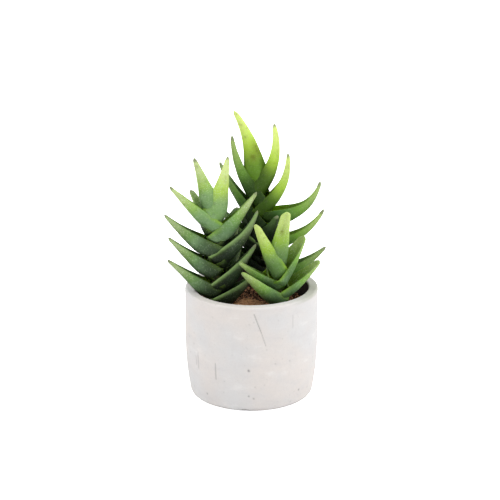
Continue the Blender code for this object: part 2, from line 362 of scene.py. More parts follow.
def srgb(red, green, blue):
    """A colour as given, 0 to 255, in the linear values that shaders take."""
    return tuple(((c / 255 + 0.055) / 1.055) ** 2.4 for c in (red, green, blue))


# A leaf's colours at its base, its middle and its tip: new leaves, grown ones and old ones.
NEW_GREENS = (srgb(106, 148, 30), srgb(174, 208, 64), srgb(212, 228, 126))
GROWN_GREENS = (srgb(58, 100, 46), srgb(106, 152, 60), srgb(146, 172, 98))
OLD_GREENS = (srgb(20, 34, 18), srgb(32, 52, 26), srgb(86, 112, 64))
NEW_INNER = srgb(128, 166, 26)
OLD_INNER = srgb(44, 66, 26)
GLOW = srgb(132, 172, 20)
FROST = srgb(140, 172, 130)
PALE = srgb(204, 214, 170)
SPECK = srgb(206, 220, 184)
PALE_MARGIN_AND_HIGHLIGHT = srgb(132, 162, 98)
DRY_TIP = srgb(122, 130, 98)
BLEMISH = srgb(96, 96, 30)
SHADE = srgb(16, 26, 12)
YOUNG_SHADE = srgb(44, 66, 12)

# Noises on a leaf: how fine each is, the last three of them across, along and from face to face.
LEAF_CLOUDS = 110.0
FLECK_PATCHES = 300.0
MOTTLES = (420.0, 260.0, 300.0)
SCUFFS = (520.0, 190.0, 300.0)
FLECKS = (1350.0, 1000.0, 300.0)
LEAF_RELIEF = 0.1 * MM

# How dark the painted shade is deep in the rosette on a young frosted leaf and on an old leaf.
YOUNG_FROSTED_DEEP_SHADE = 0.1
OLD_DEEP_SHADE = 0.92

# Each row is a ramp of the leaf material: a value that goes from the first number to the second
# gives 0 to 1, or the third number to the fourth. A name ends with the value. Length is the share
# of the leaf's length, face is from 0 under the leaf to 1 inside it, edge is from 0 at the keel to
# 1 at a margin, and margin is the distance from a margin.
MIDDLE_BY_LENGTH = (0.2, 0.55)
TIP_BY_LENGTH = (0.45, 0.9)
GROWN_BY_AGE = (0.0, 0.6)
OLD_BY_AGE = (0.5, 1.0)
OUTER_BY_FACE = (0.6, 0.4)
FROST_BY_LENGTH = (0.55, 0.33, 0.05, 0.62)
FROST_BY_CLOUDS = (0.3, 0.6, 0.6, 1.0)
FROST_BY_AGE = (0.6, 1.0, 1.0, 0.15)
PALE_BY_LENGTH = (0.35, 0.9, 0.0, 0.4)
PALE_BY_BLOOM = (0.8, 1.0)
PALE_BY_AGE = (0.2, 0.7, 1.0, 0.7)
WORN_BY_SCUFFS = (0.54, 0.72, 0.0, 0.45)
WORN_BY_LENGTH = (0.9, 0.1, 0.25, 1.0)
SHADE_BY_MOTTLE = (0.5, 0.22, 0.0, 0.35)
KEEL_BY_EDGE = (0.75, 0.1)
KEEL_BY_AGE = (0.2, 1.0, 0.1, 0.7)
INNER_BY_AGE = (0.0, 0.8)
INNER_BY_LENGTH = (0.95, 0.4, 0.2, 0.85)
YOUNG_DEEP_BY_AGE = (0.02, 0.08, 0.3, 0.85)
YOUNG_DEEP_BY_BLOOM = (0.1, 0.8)
DEEP_BY_LENGTH = (0.7, 0.3)
DEEP_BY_AGE = (0.35, 0.75)
DEEP_TONE_BY_AGE = (0.4, 0.8)
GLOW_BY_LENGTH = (0.42, 0.12)
GLOW_BY_FACE = (0.4, 0.6, 0.0, 0.8)
GLOW_BY_AGE = (0.8, 0.95, 1.0, 0.0)
THIN_BY_MARGIN = (3.5 * MM, 0.0)
THIN_BY_AGE = (0.3, 0.7, 0.6, 0.1)
THIN_BY_BLOOM = (0.1, 0.6)
FLECK_BY_CELL = (0.42, 0.2)
FLECK_BY_PATCH = (0.3, 0.45)
FLECK_BY_LENGTH = (0.2, 0.8, 0.12, 0.5)
FLECK_BY_AGE = (0.5, 1.0, 1.0, 0.35)
FLECK_BY_BLOOM = (0.0, 1.0, 0.3, 1.0)
BAND_BY_MARGIN = (2.1 * MM, -0.42 * MM)
BAND_BY_AGE = (0.7, 0.9)
BAND_END_BY_AGE = (0.99, 0.98)
BAND_BY_FACE = (0.4, 0.6, 1.0, 0.1)
BAND_BY_SCUFFS = (0.3, 0.6, 0.75, 1.0)
BLEMISH_BY_MOTTLE = (0.35, 0.6, 0.3, 0.85)
DRY_SHIFT_BY_CLOUDS = (0.3, 0.7, -0.015, 0.015)
DRY_BY_LENGTH = (0.93, 0.98, 0.0, 0.9)
DRY_BY_AGE = (0.02, 0.08, 0.15, 1.0)
ROUGHNESS_BY_MOTTLE = (0.3, 0.7, 0.44, 0.58)

LEAF_VALUES = ("along", "edge", "margin", "inner", "core", "age", "bloom", "withered", "blemish")


def leaf_inputs(n):
    """What the leaf material reads: the values stored on the points, and three noises."""
    leaf = SimpleNamespace(**{name: n.stored(name) for name in LEAF_VALUES})
    leaf.skin = n.stored("skin", "Vector")
    leaf.place = n.place()
    leaf.outer = n.ramp(leaf.inner, *OUTER_BY_FACE)
    leaf.clouds = n.noise(leaf.place, LEAF_CLOUDS)
    leaf.mottle = n.noise(n.scaled(leaf.skin, MOTTLES), 1.0, 4.0, 0.6)
    leaf.scuffs = n.noise(n.scaled(leaf.skin, SCUFFS), 1.0, 5.0, 0.7)
    return leaf


def greens_along(n, leaf, greens):
    """One set of greens along a leaf, from its base to its tip."""
    base, middle, tip = greens
    colour = n.mix(n.ramp(leaf.along, *MIDDLE_BY_LENGTH), base, middle)
    return n.mix(n.ramp(leaf.along, *TIP_BY_LENGTH), colour, tip)


def green(n, leaf):
    """Bright yellow-green on new leaves, dark on old ones and, as painted shade, on leaves in shade."""
    new = greens_along(n, leaf, NEW_GREENS)
    grown = n.mix(n.ramp(leaf.age, *GROWN_BY_AGE), new, greens_along(n, leaf, GROWN_GREENS))
    return n.mix(n.ramp(leaf.age, *OLD_BY_AGE), grown, greens_along(n, leaf, OLD_GREENS))


def with_frost(n, leaf, colour):
    """A frosted outer face: low on the leaf in clouds, paler towards the tip, and worn in scuffs."""
    frosted = n.product(leaf.bloom, leaf.outer)
    low = n.product(n.ramp(leaf.along, *FROST_BY_LENGTH), n.ramp(leaf.clouds, *FROST_BY_CLOUDS))
    low = n.product(low, n.product(frosted, n.ramp(leaf.age, *FROST_BY_AGE)))
    colour = n.mix(low, colour, FROST)
    pale = n.product(n.ramp(leaf.along, *PALE_BY_LENGTH), n.ramp(leaf.bloom, *PALE_BY_BLOOM))
    pale = n.product(pale, n.ramp(leaf.age, *PALE_BY_AGE), leaf.outer)
    colour = n.mix(pale, colour, PALE)
    worn = n.product(n.ramp(leaf.scuffs, *WORN_BY_SCUFFS), n.ramp(leaf.along, *WORN_BY_LENGTH))
    return n.mix(n.product(worn, frosted), colour, FROST)


def with_shade(n, leaf, colour):
    """Darker mottles and inner face; painted shade on the keel and deep between the leaves by the stem.
    """
    colour = n.mix(n.ramp(leaf.mottle, *SHADE_BY_MOTTLE), colour, SHADE)
    # Painted shade: the outer face darkens towards its keel, underneath the leaf, most on old leaves.
    keel_shade = n.product(leaf.outer, n.ramp(leaf.age, *KEEL_BY_AGE))
    colour = n.mix(n.product(n.ramp(leaf.edge, *KEEL_BY_EDGE), keel_shade), colour, SHADE)
    channel = n.mix(n.ramp(leaf.age, *INNER_BY_AGE), NEW_INNER, OLD_INNER)
    colour = n.mix(n.product(leaf.inner, n.ramp(leaf.along, *INNER_BY_LENGTH)), colour, channel)
    # Painted shade deep in the rosette: near the stem and low on each leaf, darkest on old leaves.
    young = n.ramp(leaf.age, *YOUNG_DEEP_BY_AGE)
    young = n.ramp(leaf.bloom, *YOUNG_DEEP_BY_BLOOM, young, YOUNG_FROSTED_DEEP_SHADE)
    deep = n.product(leaf.core, n.ramp(leaf.along, *DEEP_BY_LENGTH))
    deep = n.product(deep, n.ramp(leaf.age, *DEEP_BY_AGE, young, OLD_DEEP_SHADE))
    return n.mix(deep, colour, n.mix(n.ramp(leaf.age, *DEEP_TONE_BY_AGE), YOUNG_SHADE, SHADE))


def with_glow(n, leaf, colour):
    """Light that comes through a leaf's base: inside it, and at its thin margins."""
    low = n.ramp(leaf.along, *GLOW_BY_LENGTH)
    glow = n.product(low, n.ramp(leaf.inner, *GLOW_BY_FACE), n.ramp(leaf.age, *GLOW_BY_AGE))
    colour = n.mix(glow, colour, GLOW)
    thin = n.product(n.ramp(leaf.margin, *THIN_BY_MARGIN), low, n.ramp(leaf.age, *THIN_BY_AGE))
    return n.mix(n.product(thin, n.ramp(leaf.bloom, *THIN_BY_BLOOM)), colour, GLOW)


def flecks(n, leaf):
    """Small pale flecks in patches, most of them towards the tip and on the frosted leaves."""
    chosen = n.ramp(n.noise(leaf.place, FLECK_PATCHES, 1.0), *FLECK_BY_PATCH)
    chosen = n.product(chosen, n.ramp(leaf.along, *FLECK_BY_LENGTH), n.ramp(leaf.age, *FLECK_BY_AGE))
    fleck = n.ramp(n.cells(n.scaled(leaf.skin, FLECKS), 1.0), *FLECK_BY_CELL)
    return n.product(fleck, chosen, n.ramp(leaf.bloom, *FLECK_BY_BLOOM))


def with_marks(n, leaf, colour):
    """A pale band along the margins of dark leaves but the oldest, partly their own colour and partly
    painted highlight, brown smudges, and dry tips.
    """
    # Painted highlight, partly the margin's own paler colour: a pale band where the rounded margin
    # catches light from above.
    margin_band_and_highlight = n.product(n.ramp(leaf.margin, *BAND_BY_MARGIN), n.ramp(leaf.age, *BAND_BY_AGE))
    margin_band_and_highlight = n.product(margin_band_and_highlight, n.ramp(leaf.age, *BAND_END_BY_AGE), n.ramp(leaf.inner, *BAND_BY_FACE))
    colour = n.mix(n.product(margin_band_and_highlight, n.ramp(leaf.scuffs, *BAND_BY_SCUFFS)), colour, PALE_MARGIN_AND_HIGHLIGHT)
    smudge = n.product(leaf.blemish, n.ramp(leaf.mottle, *BLEMISH_BY_MOTTLE))
    colour = n.mix(smudge, colour, BLEMISH)
    tip = n.math("ADD", leaf.along, n.ramp(leaf.clouds, *DRY_SHIFT_BY_CLOUDS))
    withered = n.product(leaf.withered, n.ramp(leaf.age, *DRY_BY_AGE))
    return n.mix(n.product(n.ramp(tip, *DRY_BY_LENGTH), withered), colour, DRY_TIP)


def leaf_material():
    """Bright new leaves and dark old ones, frosted and flecked, pale along their margins partly as
    painted highlight, with painted shade on their keels and deep between them.
    """
    n = Nodes.material(
        "leaf", Roughness=0.5, Specular_IOR_Level=0.16, Subsurface_Weight=0.2,
        Subsurface_Radius=(0.7, 1.0, 0.25), Subsurface_Scale=3.0 * MM,
    )
    leaf = leaf_inputs(n)
    colour = with_frost(n, leaf, green(n, leaf))
    colour = with_glow(n, leaf, with_shade(n, leaf, colour))
    fleck = flecks(n, leaf)
    colour = with_marks(n, leaf, n.mix(fleck, colour, SPECK))
    normal = n.bump(leaf.mottle, LEAF_RELIEF, 0.3)
    normal = n.bump(fleck, LEAF_RELIEF, 0.5, normal)
    return n.finish(colour, normal, n.ramp(leaf.mottle, *ROUGHNESS_BY_MOTTLE))


BARK_RINGS = (60.0, 60.0, 420.0)
BARK_DARK = srgb(66, 72, 38)
BARK_LIGHT = srgb(112, 110, 62)
BARK_LIGHT_BY_RINGS = (0.35, 0.65)


def stem_material():
    """A dull olive bark with rings where old leaves fell."""
    n = Nodes.material("stem", Roughness=0.7)
    rings = n.noise(n.scaled(n.place(), BARK_RINGS), 1.0)
    colour = n.mix(n.ramp(rings, *BARK_LIGHT_BY_RINGS), BARK_DARK, BARK_LIGHT)
    return n.finish(colour, n.bump(rings, 0.3 * MM))


SOIL_DARK = srgb(52, 37, 25)
SOIL_LIGHT = srgb(122, 92, 66)
LIT_MOUND_SOIL = srgb(190, 146, 108)
SOIL_LUMPS = 260.0
SOIL_SPECKS = 900.0
LIGHT_BY_LUMPS = (0.35, 0.68)
DARK_BY_SPECKS = (0.45, 0.8, 0.0, 0.5)
LIT_MOUND_BY_SPECKS = (0.3, 0.6, 0.6, 0.95)
LIT_MOUND_BY_DISTANCE = (MOUND_SPREAD * 2.0, MOUND_SPREAD * 1.2)


def soil_material(name, dark, light):
    """Crumbly dark soil, made pale on the mound at the front by painted light."""
    n = Nodes.material(name, Roughness=0.92, Specular_IOR_Level=0.1)
    place = n.place()
    away = n.distance(place, (*MOUND_PLACE, SOIL_TOP + MOUND_HEIGHT))
    lumps = n.noise(place, SOIL_LUMPS, 5.0, 0.65)
    specks = n.noise(place, SOIL_SPECKS, 2.0)
    colour = n.mix(n.ramp(lumps, *LIGHT_BY_LUMPS), dark, light)
    colour = n.mix(n.ramp(specks, *DARK_BY_SPECKS), colour, dark)
    # Painted light: the soil is paler on the mound at the front, where light falls on it.
    lit_mound = n.product(n.ramp(away, *LIT_MOUND_BY_DISTANCE), n.ramp(specks, *LIT_MOUND_BY_SPECKS))
    colour = n.mix(lit_mound, colour, LIT_MOUND_SOIL)
    return n.finish(colour, n.bump(lumps, 0.6 * MM))


# The concrete's colours, how fine its noises are, and its ramps.
COOL_CONCRETE = srgb(203, 202, 202)
WARM_CONCRETE = srgb(208, 202, 198)
DARK_SMEAR = srgb(196, 193, 193)
PALE_SMEAR = srgb(224, 222, 220)
FINE_SPECKLE = srgb(188, 184, 182)
PORE = srgb(150, 147, 146)
WORN_PIT = srgb(96, 94, 93)
RIM_SHADOW = srgb(178, 178, 168)
INNER_WALL_DARK = srgb(40, 31, 24)
CONCRETE_CLOUDS = 24.0
CONCRETE_SMEARS = (45.0, 45.0, 110.0)
CONCRETE_FINE = 700.0
CONCRETE_PORES = 420.0
PORE_PATCHES = 130.0
WARM_BY_CLOUDS = (0.35, 0.65)
DARK_BY_SMEARS = (0.45, 0.75, 0.0, 0.5)
PALE_BY_SMEARS = (0.45, 0.22, 0.0, 0.6)
SPECKLE_BY_FINE = (0.4, 0.75, 0.0, 0.25)
PORE_BY_CELL = (0.16, 0.05)
PORE_BY_PATCH = (0.55, 0.68)
PORE_SHADE = 0.45
RIM_SHADOW_BY_SMEARS = (0.3, 0.6, 0.7, 1.0)
INNER_DARK_SHIFT_BY_FINE = (0.3, 0.7, -0.2, 0.2)
INNER_DARK_BY_INSIDE = (0.2, 0.7, 0.0, 0.95)


def concrete_material():
    """Pale cast concrete: cool and warm clouds, faint smears, fine pores, darker pits, a painted shadow
    on the rim's right, and a darker inner wall below the rim.
    """
    n = Nodes.material("concrete", Roughness=0.82, Specular_IOR_Level=0.3)
    place = n.place()
    clouds = n.noise(place, CONCRETE_CLOUDS, 4.0, 0.55)
    smears = n.noise(n.scaled(place, CONCRETE_SMEARS), 1.0, 4.0, 0.6)
    fine = n.noise(place, CONCRETE_FINE, 4.0, 0.7)
    pore = n.ramp(n.cells(place, CONCRETE_PORES), *PORE_BY_CELL)
    pore = n.product(pore, n.ramp(n.noise(place, PORE_PATCHES, 2.0), *PORE_BY_PATCH))
    colour = n.mix(n.ramp(clouds, *WARM_BY_CLOUDS), COOL_CONCRETE, WARM_CONCRETE)
    colour = n.mix(n.ramp(smears, *DARK_BY_SMEARS), colour, DARK_SMEAR)
    colour = n.mix(n.ramp(smears, *PALE_BY_SMEARS), colour, PALE_SMEAR)
    colour = n.mix(n.ramp(fine, *SPECKLE_BY_FINE), colour, FINE_SPECKLE)
    colour = n.mix(n.product(pore, PORE_SHADE), colour, PORE)
    colour = n.mix(n.stored("worn"), colour, WORN_PIT)
    # Painted shadow of the leaves on the right of the rim's top.
    rim_shadow = n.product(n.stored("rim_shadow"), n.ramp(smears, *RIM_SHADOW_BY_SMEARS))
    colour = n.mix(rim_shadow, colour, RIM_SHADOW)
    # The inner wall darkens downward from the rim.
    inner_dark = n.math("ADD", n.stored("inside"), n.ramp(fine, *INNER_DARK_SHIFT_BY_FINE))
    colour = n.mix(n.ramp(inner_dark, *INNER_DARK_BY_INSIDE), colour, INNER_WALL_DARK)
    normal = n.bump(fine, 0.08 * MM, 0.6)
    normal = n.bump(pore, -0.15 * MM, 0.6, normal)
    return n.finish(colour, normal)


# Leaves

WAVE_SCALE = 0.12 / MM
WAVE_HEIGHT = 0.16 * MM
# Without a seed of its own, the waves' noise would start from the clock.
WAVE_SEED = 1
# How far apart the waves, and the marks on the skin, of two leaves lie in their noise.
WAVE_APART = 7.0
SKIN_APART = 0.1
# A leaf is deep in its rosette, where its colour takes painted shade, within the first distance
# from the stem's middle, and free of it past the second.
CORE_NEAR = 8.0 * MM
CORE_FAR = 20.0 * MM

# Brown smudges: the leaf, the place along and across it, and how far it spreads each way.
BLEMISHES = (
    ("leaf_back_17", 0.46, 0.85, 0.09, 0.22),
    ("leaf_back_17", 0.38, 0.50, 0.05, 0.14),
    ("leaf_front_08", 0.68, -0.35, 0.06, 0.18),
    ("leaf_back_02", 0.82, -0.30, 0.05, 0.30),
)


def leaf_angle(lean, curl, share):
    """A midrib's angle from the stem at a share of the leaf's length."""
    return math.radians(lean - curl * smooth(CURL_START, 1.0, share))


def leaf_midrib(stem, height, lean, curl, length):
    """Places along a leaf's midrib: how far along, where, and the angle from the stem there."""
    root = min(ROOT_LENGTH, height)
    angle = math.radians(lean)
    place = Vector((stem.radius + FIT + BASE_THICK / 2, 0, height))
    place = place - Vector((math.sin(angle), 0, math.cos(angle))) * root
    places = []
    before = -root
    for ring in range(LEAF_RINGS):
        along = (length + root) * (1 - (1 - ring / (LEAF_RINGS - 1)) ** RING_SPREAD) - root
        stride = (along - before) / MIDRIB_STEPS
        for step in range(MIDRIB_STEPS):
            angle = leaf_angle(lean, curl, (before + stride * (step + 0.5)) / length)
            place = place + Vector((math.sin(angle), 0, math.cos(angle))) * stride
        before = along
        places.append((along, place, leaf_angle(lean, curl, along / length)))
    return places


def leaf_section(middle, outward, wrap, radius, deep, thick, blunt):
    """One ring: a lens bent into an arc, with rounded margins. Each point has its part across
    the leaf, from -1 to 1, and its face, from 0 for the under face to 1 for the inner one."""
    across = Vector((0, 1, 0))
    radius = radius * blunt
    margin = MARGIN_THICK * blunt
    body = max(0.0, thick - MARGIN_THICK) * blunt
    centre = middle - outward * radius * deep
    parts = [2 * spot / (FACE_SPOTS - 1) - 1 for spot in range(FACE_SPOTS)]

    def face_point(part, side):
        depth = margin * math.copysign(0.5, side) + body * side * (1 - part * part)
        out = outward * math.cos(wrap * part) * (radius * deep + depth)
        return centre + out + across * math.sin(wrap * part) * (radius + depth)

    ring = [(face_point(part, UNDER_SHARE), part, 0.0) for part in parts]
    ring += margin_points(centre, outward, across, wrap, radius, deep, margin, 1)
    ring += [(face_point(part, UNDER_SHARE - 1), part, 1.0) for part in reversed(parts)]
    ring += margin_points(centre, outward, across, wrap, radius, deep, margin, -1)
    return ring


def margin_points(centre, outward, across, wrap, radius, deep, margin, side):
    """The rounded edge that joins a leaf's two faces at one margin."""
    radial = outward * math.cos(wrap) + across * math.sin(wrap) * side
    beyond = across * math.cos(wrap) * side - outward * math.sin(wrap)
    edge = centre + outward * math.cos(wrap) * radius * deep + across * math.sin(wrap) * radius * side
    points = []
    for spot in range(CAP_SPOTS):
        angle = math.pi * (spot + 1) / (CAP_SPOTS + 1)
        if side < 0:
            angle = math.pi - angle
        point = edge + (radial * math.cos(angle) + beyond * math.sin(angle)) * margin / 2
        points.append((point, float(side), 0.5))
    return points


def leaf_rings(stem, height, turn, lean, curl, length, mouth, belly):
    """Rings of points along one leaf, in the stem's frame. Each has its share of the leaf's length,
    its half width and the length of half its arc."""
    collar = stem.radius + FIT + COLLAR_EASE
    spin = Matrix.Rotation(math.radians(turn), 3, "Z")
    rings = []
    for along, middle, angle in leaf_midrib(stem, height, lean, curl, length):
        taper = min(1.0, max(0.0, 1 - along / length))
        free = smooth(-ROOT_LENGTH, COLLAR_LENGTH - ROOT_LENGTH, along)
        outward = Vector((math.cos(angle), 0, -math.sin(angle)))
        half_width = stem.tip + (mouth - stem.tip) * taper**stem.swell
        half_width = collar + (half_width - collar) * free
        pinch = 1 - ROOT_PINCH * smooth(0.0, ROOT_LENGTH, -along)
        half_width = half_width * pinch
        wrap = math.radians(TIP_WRAP + (MOUTH_WRAP - TIP_WRAP) * taper**WRAP_POWER) * pinch
        radius = half_width / math.sin(min(wrap, math.pi / 2))
        depth = DEPTH_SHARE * mouth * taper**DEPTH_POWER * pinch + TIP_DEPTH
        depth += ROOT_RISE * math.sin(angle) * max(0.0, -along)
        low = belly * smooth(*BELLY_RISE, along / length) * taper**BELLY_POWER
        middle = middle + outward * low
        depth += low
        deep = depth / (radius * (1 - math.cos(wrap)))
        thick = BASE_THICK + (stem.thick - BASE_THICK) * smooth(0.0, THICK_LENGTH, along)
        thick = thick * (TIP_THICK_SHARE + (1 - TIP_THICK_SHARE) * taper)
        blunt = math.sqrt(max(0.0, 1 - smooth(TIP_ROUND_START, TIP_ROUND_END, 1 - taper) ** 2))
        ring = leaf_section(middle, outward, wrap, radius, deep, thick, blunt)
        ring = [(spin @ point, part, face) for point, part, face in ring]
        rings.append((along / length, half_width, radius * blunt * wrap, ring))
    return rings


def uneven(point, number):
    """A leaf's point, off its smooth place by the slight waves of a grown leaf."""
    here = point * WAVE_SCALE + Vector((0, 0, number * WAVE_APART))
    return point + noise.noise_vector(here) * WAVE_HEIGHT


def blemish_at(name, share, part):
    """How brown a leaf is at a share of its length and a part across it."""
    shade = 0.0
    for leaf, spot_share, spot_part, long, wide in BLEMISHES:
        if leaf == name:
            away = math.hypot((share - spot_share) / long, (part - spot_part) / wide)
            shade = max(shade, math.exp(-away * away))
    return shade


def join_rings(mesh, loops):
    """Faces between a leaf's rings, and over its two ends."""
    for low, high in zip(loops, loops[1:]):
        for i, corner in enumerate(low):
            after = (i + 1) % len(low)
            mesh.faces.new((corner, low[after], high[after], high[i]))
    mesh.faces.new(reversed(loops[0]))
    mesh.faces.new(loops[-1])
    bmesh.ops.recalc_face_normals(mesh, faces=mesh.faces)


def leaf_mesh(name, stem, row, number):
    """A leaf's mesh, with the values that its material reads stored on its points."""
    height, turn, lean, curl, length, mouth, belly, age = row
    rings = leaf_rings(stem, height * MM, turn, lean, curl, length * MM, mouth * MM, belly * MM)
    place = stem.matrix()
    mesh = bmesh.new()
    layers = {key: mesh.verts.layers.float.new(key) for key in LEAF_VALUES}
    skin = mesh.verts.layers.float_vector.new("skin")
    loops = []
    for share, half_width, half_arc, ring in rings:
        loop = []
        for point, part, face in ring:
            vert = mesh.verts.new(place @ uneven(point, number))
            vert[layers["along"]] = share
            vert[layers["edge"]] = abs(part)
            vert[layers["margin"]] = (1 - abs(part)) * half_arc
            vert[layers["inner"]] = face
            vert[layers["core"]] = smooth(CORE_FAR, CORE_NEAR, math.hypot(point.x, point.y))
            vert[layers["age"]] = age
            vert[layers["bloom"]] = stem.bloom
            vert[layers["withered"]] = stem.withered
            vert[layers["blemish"]] = blemish_at(name, share, part)
            layer = (number + face * 0.5) * SKIN_APART
            vert[skin] = Vector((part * half_width, share * length * MM, layer))
            loop.append(vert)
        loops.append(loop)
    join_rings(mesh, loops)
    data = bpy.data.meshes.new(name)
    mesh.to_mesh(data)
    mesh.free()
    data.shade_smooth()
    return data


def make_leaves(material):
    noise.seed_set(WAVE_SEED)
    for stem in STEMS:
        for number, row in enumerate(stem.leaves, 1):
            name = f"leaf_{stem.name}_{number:02d}"
            data = leaf_mesh(name, stem, row, number)
            data.materials.append(material)
            leaf = link(bpy.data.objects.new(f"fine_{name}", data))
            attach(leaf, "root")
            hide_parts(name)


# Pot

# Where the pot stands in the photo, in its pixels: its middle, its rim's middle, and pixels for
# each mm across, up and towards the camera.
POT_MIDDLE_PX = 251.4
POT_RIM_PX = 285.4
PX_ACROSS = 1.34
PX_UP = 1.272
PX_NEARER = 0.42
PIXEL_ROUNDS = 3

# Marks that the photo shows, in its pixels: pits with a radius and depth, and fine grooves from a
# point to a point with a half width and depth. Sizes are in mm.
PITS = (
    (248.6, 369.0, 0.8, 0.5), (248.6, 395.0, 0.6, 0.5), (253.6, 397.5, 0.6, 0.4),
    (206.6, 393.6, 0.7, 0.4), (299.0, 389.6, 0.8, 0.35), (275.0, 362.0, 0.6, 0.2),
    (214.5, 408.0, 1.0, 0.8), (219.0, 408.8, 1.2, 0.9), (223.0, 409.4, 0.9, 0.7),
    (242.5, 410.2, 0.9, 0.9), (245.0, 410.4, 1.1, 1.0), (247.5, 410.4, 0.9, 0.9),
)
GROOVES = (
    (254.0, 313.0, 261.0, 331.0, 0.30, 0.35), (261.0, 331.0, 265.5, 344.0, 0.28, 0.25),
    (198.0, 352.0, 198.5, 368.0, 0.40, 0.26), (196.0, 356.0, 196.5, 364.0, 0.35, 0.22),
    (215.5, 362.0, 216.0, 378.0, 0.40, 0.28), (292.0, 314.0, 292.0, 326.0, 0.35, 0.15),
)
STRAY_PITS = 150
STRAY_SEED = 11
STRAY_RADII = (0.25, 0.6)
STRAY_DEPTH_SHARE = 0.32
WORN_DEPTH = 0.6 * MM
NO_LENGTH = 1e-12

# The wall's slow swells and finer ripples, and the crumbled rim.
SWELL_SCALE = 45.0
SWELL_HEIGHT = 0.22 * MM
RIPPLE_SCALE = 260.0
RIPPLE_HEIGHT = 0.07 * MM
INNER_UNEVENNESS = 0.3
CRUMBLE_REACH = 2.2 * MM
CRUMBLE_SCALE = 420.0
CRUMBLE_DEPTH = 0.25 * MM

# The part of the rim that takes a painted shadow of the leaves, from here to here towards the right
# and upward, and the inner wall's darkening, downward from the rim.
RIM_SHADOW_RIGHT = (26.0 * MM, 46.0 * MM)
RIM_SHADOW_UPWARD = (POT_HEIGHT - 3.0 * MM, POT_HEIGHT - 1.0 * MM)
INNER_DARK_DOWNWARD = (POT_HEIGHT - 0.6 * MM, POT_HEIGHT - 2.5 * MM)


def pot_corners():
    """Corners of the pot's turned profile, from the inside over the rim to the foot."""
    inner = POT_RADIUS - POT_WALL
    corner = POT_RIM_INNER_EASE * POT_RIM_INNER_CORNER
    corners = [
        (inner, SOIL_TOP - SKIN_DEPTH),
        (inner, POT_HEIGHT - POT_RIM_INNER_EASE),
        (inner + corner, POT_HEIGHT - corner),
        (inner + POT_RIM_INNER_EASE, POT_HEIGHT),
    ]
    for step in range(POT_RIM_STEPS + 1):
        angle = math.radians(90 - 90 * step / POT_RIM_STEPS)
        out = POT_RADIUS - POT_RIM_OUTER_EASE * (1 - math.cos(angle))
        corners.append((out, POT_HEIGHT - POT_RIM_OUTER_EASE * (1 - math.sin(angle))))
    for step in range(POT_TAPER_STEPS + 1):
        part = step / POT_TAPER_STEPS
        out = POT_RADIUS - (POT_RADIUS - POT_FOOT_RADIUS) * part * part
        corners.append((out, POT_TAPER_TOP - (POT_TAPER_TOP - POT_FOOT_ROUND) * part))
    for step in range(1, POT_FOOT_STEPS + 1):
        angle = math.radians(90 * step / POT_FOOT_STEPS)
        out = POT_FOOT_RADIUS - POT_FOOT_ROUND * (1 - math.cos(angle))
        corners.append((out, POT_FOOT_ROUND * (1 - math.sin(angle))))
    return corners


def pot_profile():
    """The pot's profile as closely spaced points, each a radius and a height."""
    corners = pot_corners()
    points = [corners[0]]
    for (r0, z0), (r1, z1) in zip(corners, corners[1:]):
        count = max(1, round(math.hypot(r1 - r0, z1 - z0) / POT_ROW))
        for i in range(1, count + 1):
            points.append((r0 + (r1 - r0) * i / count, z0 + (z1 - z0) * i / count))
    return np.array(points)


def on_pot(x_px, y_px):
    """The angle round the pot and the height where a pixel of the photo meets its outer wall."""
    x = (x_px - POT_MIDDLE_PX) / PX_ACROSS * MM
    height = POT_HEIGHT / 2
    for _ in range(PIXEL_ROUNDS):
        narrow = (POT_RADIUS - POT_FOOT_RADIUS) * max(0.0, 1 - height / POT_TAPER_TOP) ** 2
        radius = POT_RADIUS - narrow
        depth = math.sqrt(max(0.0, radius * radius - x * x))
        height = POT_HEIGHT - (y_px - POT_RIM_PX - PX_NEARER * depth / MM) / PX_UP * MM
    return math.atan2(-depth, x), height


def pot_marks():
    """Every pit and groove: an angle and height, those of its other end, a half width and a depth."""
    marks = []
    for x, y, radius, depth in PITS:
        angle, height = on_pot(x, y)
        marks.append((angle, height, angle, height, radius * MM, depth * MM))
    for x0, y0, x1, y1, half, depth in GROOVES:
        marks.append((*on_pot(x0, y0), *on_pot(x1, y1), half * MM, depth * MM))
    draw = np.random.default_rng(STRAY_SEED)
    for _ in range(STRAY_PITS):
        angle = draw.uniform(-math.pi, math.pi)
        height = draw.uniform(0, POT_HEIGHT)
        radius = draw.uniform(*STRAY_RADII) * MM
        marks.append((angle, height, angle, height, radius, radius * STRAY_DEPTH_SHARE))
    return marks


def press_marks(profile, outside, angles):
    """The wall's radius at each row and angle with the marks pressed in, and how worn it is there."""
    radius = np.repeat(profile[:, 0][:, None], POT_SIDES, 1)
    worn = np.zeros_like(radius)
    for a0, h0, a1, h1, half, depth in pot_marks():
        along = np.array((wrapped(a1 - a0) * POT_RADIUS, h1 - h0))
        sideways = wrapped(angles[None, :] - a0) * POT_RADIUS
        upward = profile[:, 1][:, None] - h0
        span = max(along @ along, NO_LENGTH)
        share = np.clip((sideways * along[0] + upward * along[1]) / span, 0, 1)
        away = np.hypot(sideways - share * along[0], upward - share * along[1])
        dent = np.exp(-((away / half) ** 2)) * outside
        radius -= dent * depth
        worn = np.maximum(worn, dent * min(1.0, depth / WORN_DEPTH))
    return radius, worn


def wall_point(angle, radius, height, outside):
    """A point of the pot's wall, off its turned place by swells, ripples and the crumbled rim."""
    place = Vector((math.cos(angle), math.sin(angle), 0)) * radius
    place.z = height
    ripple = noise.noise(place * SWELL_SCALE) * SWELL_HEIGHT
    ripple += noise.noise(place * RIPPLE_SCALE) * RIPPLE_HEIGHT
    rim = smooth(POT_HEIGHT - CRUMBLE_REACH, POT_HEIGHT, place.z)
    rim = rim * abs(noise.noise(place * CRUMBLE_SCALE)) * CRUMBLE_DEPTH
    radius = radius - abs(ripple) * (1 if outside else INNER_UNEVENNESS)
    return Vector((math.cos(angle) * radius, math.sin(angle) * radius, place.z - rim))


